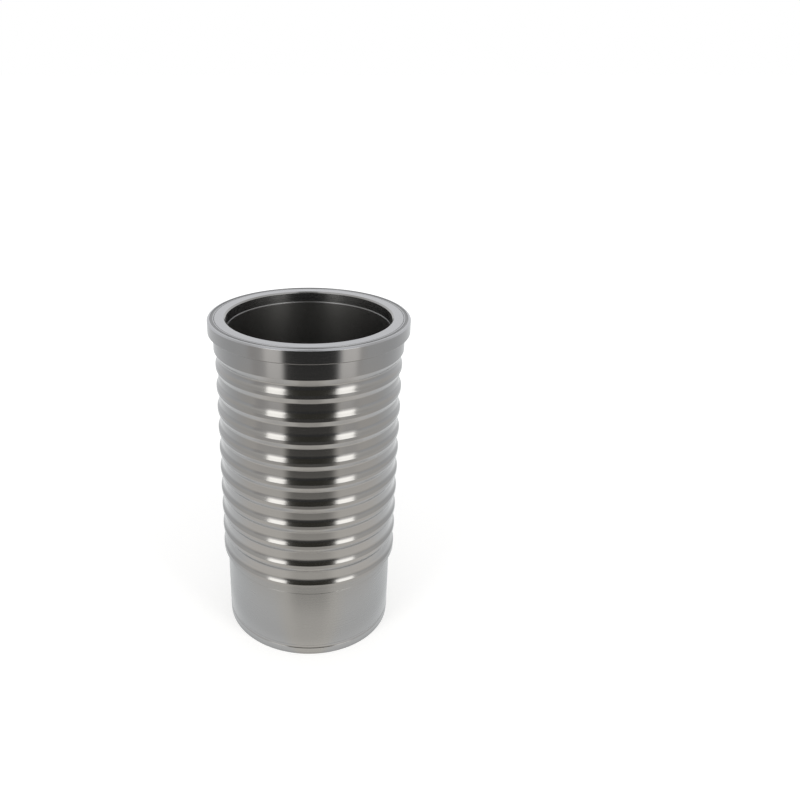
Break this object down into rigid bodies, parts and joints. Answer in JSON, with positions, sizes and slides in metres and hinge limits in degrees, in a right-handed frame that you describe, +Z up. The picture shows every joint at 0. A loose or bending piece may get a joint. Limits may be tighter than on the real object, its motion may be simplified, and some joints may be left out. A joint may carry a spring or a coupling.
{
  "type": "cylinder liner",
  "caption": "Wet cylinder liner: a metal tube with a thick top collar, a locating land, a ribbed outer barrel and a plain lower skirt, honed inside to guide a piston.",
  "frame": {"origin": "centre of the lower end face, on the liner's axis", "axes": "+Z up the liner's axis, from the skirt to the collar; X and Y are any two radial directions"},
  "size_m": [0.158, 0.158, 0.2735],
  "materials": {
    "liner_iron": "bare grey iron, finely turned outside, ground top face, honed bore, semi-gloss"
  },
  "bodies": {
    "root": {"cylinder_liner": "liner_iron"}
  },
  "joints": []
}
